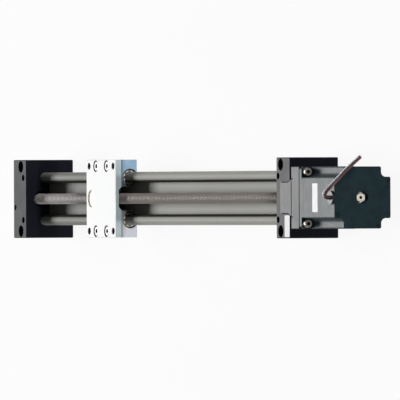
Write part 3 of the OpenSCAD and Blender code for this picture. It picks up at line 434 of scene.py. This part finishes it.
def clear_anodised(name, pale, deep, sides, end, rough, pitch, inner):
    """Milled and clear anodised: the cutter's faint arcs under a satin film, a darker tint on the
    sides, painted shade and reflected colour on the end that faces the motor, oiled threads and
    counterbores darkened with painted shade, painted shade in the bores round the liners, painted
    light on the wall round the nut's boss, and dust in the seam. On that end painted shade darkens
    the middle, by inner, and below the seam."""
    made = Finish(name, Metallic=0.0, Specular_IOR_Level=0.3)
    x, y, z = made.axes()
    arcs = ((x + y * y / FACE_MILL_ARC) * (math.tau / pitch)).math("SINE") * 0.5 + 0.5
    grain = made.noise(0.3, detail=3)
    clouds = made.noise(17, detail=4)
    marks = made.edges(0.3)
    colour = made.blend(clouds.between(0.3, 0.7) * 0.7 + arcs * 0.15, deep, pale)
    soft_clouds = made.noise(16, detail=1).between(0.2, 0.8)
    on_end = x > CARRIAGE_END - EDGE
    # A darker tint on the sides, and painted shade and reflected colour on the end that faces the
    # motor.
    side_and_painted_end_tint = made.blend(on_end, made.blend(soft_clouds, *sides), made.blend(soft_clouds, *end))
    colour = made.blend(z.between(PLATE_TOP - 0.3, PLATE_TOP - EDGE), side_and_painted_end_tint, colour)
    colour = made.blend(marks * 0.4, colour, BURNISHED)
    dx, dy = (x - CARRIAGE_X).math("ABSOLUTE"), y.math("ABSOLUTE") - HOLE_Y

    def hole(at, r):
        return ((dx - at) * (dx - at) + dy * dy) ** 0.5 < r + EDGE

    below = z < PLATE_TOP - EDGE
    # Painted shade: the counterbores are darkened, and the oiled threaded holes darkened further.
    colour = made.blend(hole(COUNTERBORE_X, COUNTERBORE_R) * below, colour, COUNTERBORE_SHADE)
    colour = made.blend(hole(THREAD_X, THREAD_R), colour, THREAD_OIL_AND_SHADE)
    from_boss = ((x - CARRIAGE_X - BOSS_X) * (x - CARRIAGE_X - BOSS_X) + y * y) ** 0.5
    # Painted light: the plate's wall round the nut's boss is lightened to cream.
    colour = made.blend(from_boss < BOSS_R + EDGE, colour, BOSS_WALL_PAINTED_LIGHT)
    # Painted shade: the bore and its mouth round each liner are darkened.
    grease_and_shade = 1.0 - made.radius(*ROD).between(LINER_R + 0.8, LINER_R + 1.3)
    seam = 1.0 - (z - PLATE_LOW).math("ABSOLUTE").between(0.3, 0.5)
    dark = (grease_and_shade * 0.96).math("MAXIMUM", seam * 0.85)
    # Painted shade: the end's middle between the rails and the band below the seam are darkened.
    middle = (1.0 - y.math("ABSOLUTE").between(*SHADE_ACROSS)) * inner
    under = (1.0 - (PLATE_LOW - z).between(*SHADE_BELOW)) * (z < PLATE_LOW) * 0.88
    dark = dark.math("MAXIMUM", middle.math("MAXIMUM", under) * on_end * below)
    return made.surface(made.blend(dark, colour, SEAM_DUST_AND_SHADE),
                        rough + arcs * 0.05 + grain * 0.08 + clouds * 0.05,
                        arcs * 0.5 + grain * 0.5, 0.006)


SIDE_FILM = ((0.56, 0.62, 0.66), (0.62, 0.67, 0.70))
BLOCK_FILM = ((0.62, 0.68, 0.72), (0.58, 0.64, 0.70), SIDE_FILM)
# The end tints given here are painted shade and painted reflected colour: dark teal on the plate,
# blue on the left block and pale lavender on the right block.
clear_anodised("clear anodised plate", (0.895, 0.905, 0.90), (0.855, 0.86, 0.855), SIDE_FILM,
               ((0.33, 0.41, 0.43), (0.41, 0.48, 0.49)), 0.52, 0.9, 0.36).on("carriage_plate")
clear_anodised("clear anodised left block", *BLOCK_FILM,
               ((0.35, 0.61, 0.81), (0.47, 0.68, 0.90)), 0.46, 0.7, 0.90).on("bearing_block_left")
clear_anodised("clear anodised right block", *BLOCK_FILM,
               ((0.83, 0.87, 0.97), (0.95, 0.94, 0.97)), 0.46, 0.7, 0.82).on("bearing_block_right")
black_oxide("black oxide carriage screw").on("carriage_screws")

# --- Slotted liners and screw nut ----------------------------------------------------------
# Moulded beige bearing polymer with solid lubricant in it. The liners are clipped into the
# blocks, their pads run on the rails, and the nut's round boss locks it in the plate.


def bearing_polymer(name, pale, deep):
    """Filled polymer: fine dark specks of lubricant and a dull moulded skin."""
    made = Finish(name, Specular_IOR_Level=0.35)
    specks = made.noise(0.35, detail=4).between(0.56, 0.72)
    clouds = made.noise(5, detail=3)
    colour = made.blend(clouds, deep, pale)
    made.colour = made.blend(specks * 0.25, colour, (0.30, 0.24, 0.15))
    made.dullness, made.relief = 0.5 + clouds * 0.12, specks * 0.4 + clouds * 0.6
    return made


# Grease and painted shade blacken the liners' skin and the pads' running faces.
PAD_FACE, PAD_BACK, PAD_GREASE_AND_SHADE = (5.05, 5.25), (6.45, 6.6), (0.012, 0.012, 0.010)
liner_polymer = bearing_polymer("beige liner polymer", (0.72, 0.69, 0.58), (0.60, 0.58, 0.48))
depth = liner_polymer.radius(*ROD)
pads = depth.between(*PAD_FACE) * (1.0 - depth.between(*PAD_BACK))
liner_polymer.surface(
    liner_polymer.blend(pads, PAD_GREASE_AND_SHADE, liner_polymer.colour),
    liner_polymer.dullness, liner_polymer.relief, 0.02).on("liners_left", "liners_right")
# Only the nut's boss keeps its cream. Its body is painted dark as shade under the plate.
NUT_LIT_FROM, NUT_PAINTED_SHADE = (39.5, 41.0), (0.030, 0.027, 0.022)
nut_polymer = bearing_polymer("cream nut polymer", (0.89, 0.865, 0.76), (0.86, 0.83, 0.71))
_, _, up = nut_polymer.axes()
nut_polymer.surface(
    nut_polymer.blend(up.between(*NUT_LIT_FROM), NUT_PAINTED_SHADE, nut_polymer.colour),
    nut_polymer.dullness, nut_polymer.relief, 0.02).on("screw_nut")

# --- Motor adapter and coupling ------------------------------------------------------------
# The adapter is milled in one piece and black anodised as the blocks are: a neck with flared
# shoulders and a square flange. In it two turned hubs grip a moulded rubber spider.

# The neck's top, in millimetres from its start: it widens towards the flange, and a cutter has
# left a fine groove round it.
NECK_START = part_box("motor_adapter")[0].x * 1000
NECK_TOP, NECK_HALF, GROOVE_START, GROOVE_END = 59.0, 14.75, 2.5, 23.8
NECK_FLARE, FLARE_FROM, FLARE_TO = 2.4, 15.5, 23.0


def neck_groove(x, y, z):
    """1 in the groove along both edges of the neck's top and across its end."""
    along, across = x - NECK_START, y.math("ABSOLUTE")
    half = NECK_HALF + along.between(FLARE_FROM, FLARE_TO) * NECK_FLARE
    sides = (1.0 - (half - 0.45 - across).math("ABSOLUTE").between(0.25, 0.55)) * (
        along < GROOVE_END + 0.4) * (along > GROOVE_START)
    end = (1.0 - (along - GROOVE_END).math("ABSOLUTE").between(0.5, 0.9)) * (across < half)
    return sides.math("MAXIMUM", end) * (z > NECK_TOP - 0.5) * (z < NECK_TOP + 0.3)


black_anodised("black anodised adapter", 0.43, neck_groove).on("motor_adapter")
ground_steel("turned hub aluminium", (0.80, 0.80, 0.81), (0.62, 0.62, 0.64), 0.24).on(
    "coupling_hub_screw_side", "coupling_hub_motor_side")

spider_rubber = Finish("red spider rubber", Specular_IOR_Level=0.3)
bloom = spider_rubber.noise(3, detail=4)
pores = spider_rubber.noise(0.3)
spider_rubber.surface(spider_rubber.blend(bloom, (0.42, 0.03, 0.025), (0.55, 0.07, 0.055)),
                      0.5 + bloom * 0.2, pores, 0.01).on("coupling_spider")

# --- Motor ---------------------------------------------------------------------------------
# A 56.4 mm square stepper motor: die cast bells on a laminated stack with notched corners,
# painted together in dark teal. Four cap screws on washers hold it to the adapter.

PAINT_DARK = (0.0066, 0.0142, 0.0172)
PAINT_WORN = (0.06, 0.075, 0.08)


def motor_paint(name, sheet=0.0):
    """Dark satin paint with a faint orange peel; sheet shows a stack's laminations."""
    made = Finish(name, Specular_IOR_Level=0.069)
    peel = made.noise(0.9, detail=2)
    dust = made.noise(11, detail=4)
    x, *_ = made.axes()
    lines = (x * (math.tau / 0.5)).math("SINE") * 0.5 + 0.5
    chips = made.edges(0.4) * made.noise(1.4, detail=3).between(0.5, 0.66)
    colour = made.blend(dust.between(0.3, 0.7), PAINT_DARK,
                        tuple(v * 1.35 for v in PAINT_DARK))
    height = peel * (1.0 - sheet) + lines * sheet
    return made.surface(made.blend(chips * 0.6, colour, PAINT_WORN),
                        0.44 + peel * 0.05 + dust * 0.08, height, 0.012, broken=0.5)


motor_paint("painted bell").on("motor_front_bell", "motor_rear_bell", "motor_body_screws")
motor_paint("painted stack", sheet=0.6).on("motor_stator")

rotor_iron = Finish("rotor iron", Metallic=0.9)
turning = rotor_iron.noise(0.4, (3, 0.2, 0.2), detail=3)
rotor_iron.surface(rotor_iron.blend(turning, (0.22, 0.22, 0.23), (0.34, 0.34, 0.35)),
                   0.38 + turning * 0.15, turning, 0.006).on("motor_rotor")

coil_copper = Finish("enamelled copper winding", Coat_Weight=0.6)
turns = (coil_copper.radius() * (math.tau / 0.8)).math("SINE") * 0.5 + 0.5
darkening = coil_copper.noise(4, detail=3)
coil_copper.surface(
    coil_copper.blend(turns * 0.6 + darkening * 0.4, (0.25, 0.09, 0.03), (0.60, 0.27, 0.10)),
    0.30 + darkening * 0.15, turns, 0.15).on("motor_coils")

MOUNT_SCREW_OFF, SOCKET_R = 23.57, 1.95
HEAD_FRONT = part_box("motor_mount_screws")[1].x * 1000
mount_steel = Finish("zinc plated screw", Metallic=0.7, Specular_IOR_Level=0.3)
plating = mount_steel.noise(1.3, detail=3)
scuffs = mount_steel.noise(0.3, (1, 3, 1), detail=3)
along, *_ = mount_steel.axes()
# Painted shade: the hex sockets are near black.
socket = mount_steel.radius(y=MOUNT_SCREW_OFF, up_by=MOUNT_SCREW_OFF) < SOCKET_R
socket = socket * (along < HEAD_FRONT - 0.12)
zinc = mount_steel.blend(plating * 0.6 + scuffs * 0.4, (0.17, 0.15, 0.14), (0.34, 0.31, 0.28))
mount_steel.surface(mount_steel.blend(socket, zinc, (0.006, 0.005, 0.005)),
                    0.34 + scuffs * 0.2 + socket * 0.3, scuffs, 0.006).on("motor_mount_screws")

SHAFT_DRILLING_R = 1.6
shaft_steel = Finish("drilled motor shaft", Metallic=0.8)
# Painted shade: the drilling in the shaft's end is near black.
drilling_shade = shaft_steel.radius() < SHAFT_DRILLING_R
turning = shaft_steel.noise(0.5, (4, 0.3, 0.3), detail=3)
shaft_steel.surface(
    shaft_steel.blend(drilling_shade, shaft_steel.blend(turning, (0.42, 0.42, 0.44),
                                                 (0.60, 0.60, 0.61)), (0.004, 0.004, 0.004)),
    0.22 + turning * 0.15 + drilling_shade * 0.6, turning, 0.004).on("motor_shaft")

ivory = Finish("ivory moulded plastic", Specular_IOR_Level=0.4, Subsurface_Weight=0.05)
flow = ivory.noise(2.5, detail=3)
ivory.surface(ivory.blend(flow, (0.53, 0.49, 0.43), (0.61, 0.57, 0.51)),
              0.36 + flow * 0.15, ivory.noise(0.4), 0.01).on("shaft_hex")

# --- Motor leads ---------------------------------------------------------------------------
# Four stranded leads of 1.5 mm in soft insulation, white, blue, red and black. They leave
# the rear bell through a rubber grommet, bend over side by side and lie across the corner.

grommet = Finish("black grommet rubber", Specular_IOR_Level=0.12)
bloom = grommet.noise(2.2, detail=4)
grommet.surface(grommet.blend(bloom, (0.008, 0.010, 0.011), (0.018, 0.021, 0.022)),
                0.44 + bloom * 0.1, grommet.noise(0.25), 0.006).on("lead_grommet")

LEAD = 0.0015
# The middle of the four leads from the grommet on: along from the rear face, across, and up
# from the motor's top, in millimetres.
LEAD_ROUTE = [
    (-6.3, 0, -3), (-6.3, 0, 0), (-6.3, 0, 2.6), (-6.1, 0.3, 5), (-5.4, 1.4, 6.9),
    (-4, 3.6, 7.7), (-1.9, 5.9, 7.4), (0.4, 8.4, 6), (2.6, 11.1, 4.2), (4.4, 14.1, 1.9),
    (5.9, 17, -0.4), (7.2, 19.9, -2.9), (8.2, 23, -5.4), (9, 25.7, -8), (9.7, 28.1, -10.6),
    (10.3, 30.5, -13.2), (10.8, 32.8, -15.7), (11.2, 35, -18.2), (11.6, 37.1, -20.6)]
LEAD_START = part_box("motor_rear_bell")[1]
SIDE_BY_SIDE = Vector((0.9, -0.43, 0))
BUNDLE = LEAD * 0.58  # from the bundle's middle to each lead's own, across and up


def lead_line(across, up, steps=5):
    """One lead's centreline: its place in the bundle, on a smooth curve through the route."""
    route = [Vector(p) / 1000 for p in LEAD_ROUTE]
    last = len(route) - 1
    spots = []
    for i, p in enumerate(route):
        ahead = (route[min(i + 1, last)] - route[max(i - 1, 0)]).normalized()
        side = (SIDE_BY_SIDE - ahead * SIDE_BY_SIDE.dot(ahead)).normalized()
        rise = side.cross(ahead)
        spots.append(p + Vector((LEAD_START.x, 0, LEAD_START.z))
                     + BUNDLE * (across * side + up * rise))
    line = []
    for i in range(last):
        a, b, c, d = (spots[max(i - 1, 0)], spots[i], spots[i + 1], spots[min(i + 2, last)])
        for k in range(steps):
            t = k / steps
            line.append(0.5 * (2 * b + (c - a) * t + (2 * a - 5 * b + 4 * c - d) * t * t
                               + (3 * b - a - 3 * c + d) * t ** 3))
    return line + [spots[-1]]


WIRE_R, WIRE_REACH, WIRE_SUNK = 0.00016, 0.0012, 0.0003
strands = Recipe("cut strands")
wire = strands.size("Wire radius", WIRE_R)
wires = strands.size("Wires in the ring", 6)
reach = strands.size("Reach", WIRE_REACH)
ring = strands.node("GeometryNodeMeshCircle",
                    named={"Vertices": wires, "Radius": wire * 2.05})
centre = strands.node("GeometryNodeMeshLine", named={"Count": 1})
spots = strands.node("GeometryNodeJoinGeometry")
for part in (ring, centre):
    strands.links.new(part.socket, spots.socket.node.inputs[0])
rod = strands.node("GeometryNodeMeshCylinder", named={
    "Vertices": 10, "Radius": wire, "Depth": reach})
cut_wires = strands.node("GeometryNodeInstanceOnPoints",
                         named={"Points": spots, "Instance": rod})
tinned = ground_steel("tinned copper strand", (0.60, 0.57, 0.53), (0.42, 0.38, 0.34), 0.25)
strand_mesh = strands.mesh("strands", cut_wires, tinned)

for colour, across, up, dark, pale in (
        ("white", -1, 1, (0.80, 0.80, 0.86), (0.92, 0.92, 0.96)),
        ("blue", -1, -1, (0.030, 0.085, 0.30), (0.06, 0.14, 0.40)),
        ("red", 1, -1, (0.065, 0.011, 0.010), (0.115, 0.026, 0.023)),
        ("black", 1, 1, (0.010, 0.010, 0.012), (0.022, 0.022, 0.026))):
    insulation = Finish(f"{colour} lead insulation", Specular_IOR_Level=0.45)
    sleeve = insulation.noise(1.2, (0.6, 0.6, 0.6), detail=3)
    rubs = insulation.noise(7, detail=3)
    insulation.surface(insulation.blend(rubs, dark, pale), 0.34 + sleeve * 0.12, sleeve, 0.02)
    line = lead_line(across, up)
    curve = bpy.data.curves.new(f"lead_{colour}_wire", "CURVE")
    curve.dimensions = "3D"
    curve.bevel_depth = LEAD / 2
    curve.bevel_resolution = 3
    curve.use_fill_caps = True
    spline = curve.splines.new("POLY")
    spline.points.add(len(line) - 1)
    for point, place in zip(spline.points, line):
        point.co = (*place, 1.0)
    spline.use_smooth = True
    curve.materials.append(insulation.material)
    wire_piece = bpy.data.objects.new(curve.name, curve)
    bpy.context.scene.collection.objects.link(wire_piece)
    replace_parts(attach(wire_piece, "frame"), f"lead_{colour}")
    ends = strand_mesh.data.copy()
    out = (line[-1] - line[-2]).normalized()
    turn = out.to_track_quat("Z", "Y").to_matrix().to_4x4()
    ends.transform(Matrix.Translation(line[-1] + out * WIRE_SUNK) @ turn)
    bare_end = piece(f"lead_{colour}_strands", ends, tinned)
    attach(bare_end, "frame")
    length = sum((b - a).length for a, b in zip(line, line[1:]))
bpy.data.objects.remove(strand_mesh)

# --- Blank labels --------------------------------------------------------------------------
# Two bare polyester labels, white and satin, stuck on the drive block's top and across the
# motor's top.


def label(name, low, high, top, pale, corner=0.0008, thick=0.00012):
    """A flat plate with rounded corners between two corners, standing on height top."""
    outline = []
    for sx, sy, turn in ((1, 1, 0), (-1, 1, 90), (-1, -1, 180), (1, -1, 270)):
        cx = (high[0] if sx > 0 else low[0]) - sx * corner
        cy = (high[1] if sy > 0 else low[1]) - sy * corner
        for k in range(7):
            a = math.radians(turn + k * 15)
            outline.append((cx + corner * math.cos(a), cy + corner * math.sin(a)))
    n = len(outline)
    points = [(x, y, z) for z in (top, top + thick) for x, y in outline]
    faces = [tuple(range(n - 1, -1, -1)), tuple(range(n, 2 * n))]
    faces += [(i, (i + 1) % n, n + (i + 1) % n, n + i) for i in range(n)]
    mesh = bpy.data.meshes.new(name)
    mesh.from_pydata(points, [], faces)
    film = Finish(name + " film", Specular_IOR_Level=0.12)
    yellowing = film.noise(9, detail=3)
    film.surface(film.blend(yellowing, tuple(v * 0.93 for v in pale), pale),
                 0.40 + yellowing * 0.1, film.noise(0.5, detail=3), 0.004)
    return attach(piece(name, mesh, film), "frame")


# The corners of each, from the block's right rear corner and from the middle of the stack's
# front edge.
BLOCK_LABEL = ((-0.0115, 0.0010), (-0.0009, 0.0210))
MOTOR_LABEL = ((0.0189, -0.0131), (0.0301, 0.0131))
block_low, block_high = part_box("drive_block")
stack_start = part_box("motor_stator")[0].x
label("drive_block_label", *((block_high.x + x, block_low.y + y) for x, y in BLOCK_LABEL),
      block_high.z, (0.60, 0.61, 0.60))
label("motor_label", *((stack_start + x, y) for x, y in MOTOR_LABEL),
      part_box("motor_rear_bell")[1].z, (0.71, 0.71, 0.71))

# --- Studio --------------------------------------------------------------------------------
# A pale floor, one large soft lamp beyond the idle end, two low ones past the motor's corners
# and a white surround. The camera stands far off at the motor's end, looking down the travel.

scene = bpy.context.scene
scene.view_settings.view_transform = "Standard"


class World(Tree):
    def __init__(self, world):
        world.use_nodes = True
        self.nodes, self.links = world.node_tree.nodes, world.node_tree.links


def looked_at(tree):
    """1 for what is seen directly, mirrored or through glass, and 0 for light that falls."""
    rays = [tree.node("ShaderNodeLightPath", out=f"Is {kind} Ray")
            for kind in ("Camera", "Glossy", "Transmission")]
    return rays[0].math("MAXIMUM", rays[1]).math("MAXIMUM", rays[2])


world = World(bpy.data.worlds.new("white surround"))
scene.world = bpy.data.worlds["white surround"]
ambient = world.node("ShaderNodeBackground", (0.92, 0.96, 1.0, 1.0), 0.05)
shown = world.node("ShaderNodeBackground", (1.0, 1.0, 1.0, 1.0), 1.0)
both = world.node("ShaderNodeMixShader", looked_at(world), ambient, shown)
world.links.new(both.socket, world.nodes["World Output"].inputs["Surface"])

FLOOR_R, FLOOR_Z, FLOOR_SIDES, FLOOR_GLOW = 14, -0.0004, 40, 0.92
floor_finish = Finish("pale studio floor", Roughness=0.9)
floor_finish.shader.inputs["Base Color"].default_value = (0.82, 0.82, 0.82, 1.0)
glow = floor_finish.node("ShaderNodeEmission", (1.0, 1.0, 1.0, 1.0), 1.0)
lit = Out(floor_finish, floor_finish.shader.outputs["BSDF"])
both = floor_finish.node("ShaderNodeMixShader", looked_at(floor_finish) * FLOOR_GLOW, lit, glow)
floor_finish.links.new(both.socket,
                       floor_finish.nodes["Material Output"].inputs["Surface"])
rim = [(FLOOR_R * math.cos(a), FLOOR_R * math.sin(a), FLOOR_Z)
       for a in (math.tau * k / FLOOR_SIDES for k in range(FLOOR_SIDES))]
floor_mesh = bpy.data.meshes.new("studio_floor")
floor_mesh.from_pydata(rim, [], [tuple(range(FLOOR_SIDES))])
floor = piece("studio_floor", floor_mesh, floor_finish)


LIT_POINT = Vector((0.06, 0, 0.03))


def lamp(name, direction, distance, width, height, power):
    """A soft oblong lamp that shines at the middle of the object."""
    light = bpy.data.lights.new(name, "AREA")
    light.shape, light.size, light.size_y = "RECTANGLE", width, height
    light.energy = power
    made = bpy.data.objects.new(name, light)
    scene.collection.objects.link(made)
    away = Vector(direction).normalized()
    made.location = LIT_POINT + away * distance
    made.rotation_euler = away.to_track_quat("Z", "Y").to_euler()


KEY_RISE = math.radians(24.8)
lamp("key", (-math.cos(KEY_RISE), 0, math.sin(KEY_RISE)), 6.5, 3.6, 1.4, 600)
lamp("left_fill", (0.8, 0.6, 0.045), 4.0, 1.2, 0.3, 86)
lamp("right_fill", (0.8, -0.6, 0.045), 4.0, 1.2, 0.3, 86)

# The camera's angle from straight above, its small roll, its distance and how far it stands
# off the object's middle, and a lens that fills the width with the object.
LOOK_DOWN = math.radians(65.10)
ROLL = math.radians(-0.24)
FAR, ALONG, ACROSS = 14.0, 0.003659, -0.001662
SENSOR = 36
FOCAL_BY_WIDTH = 15002.4 / 400
back = Vector((math.sin(LOOK_DOWN), 0, math.cos(LOOK_DOWN)))
level = Vector((math.cos(LOOK_DOWN), 0, -math.sin(LOOK_DOWN)))
right = math.cos(ROLL) * level + math.sin(ROLL) * Vector((0, 1, 0))
upright = back.cross(right)
camera = bpy.data.objects.new("camera", bpy.data.cameras.new("camera"))
camera.data.sensor_width = SENSOR
camera.data.lens = FOCAL_BY_WIDTH * SENSOR
camera.data.clip_start, camera.data.clip_end = 1, 100
camera.matrix_world = Matrix.Translation(
    back * FAR + level * ALONG + Vector((0, ACROSS, 0))
) @ Matrix((right, upright, back)).transposed().to_4x4()
scene.collection.objects.link(camera)
scene.camera = camera
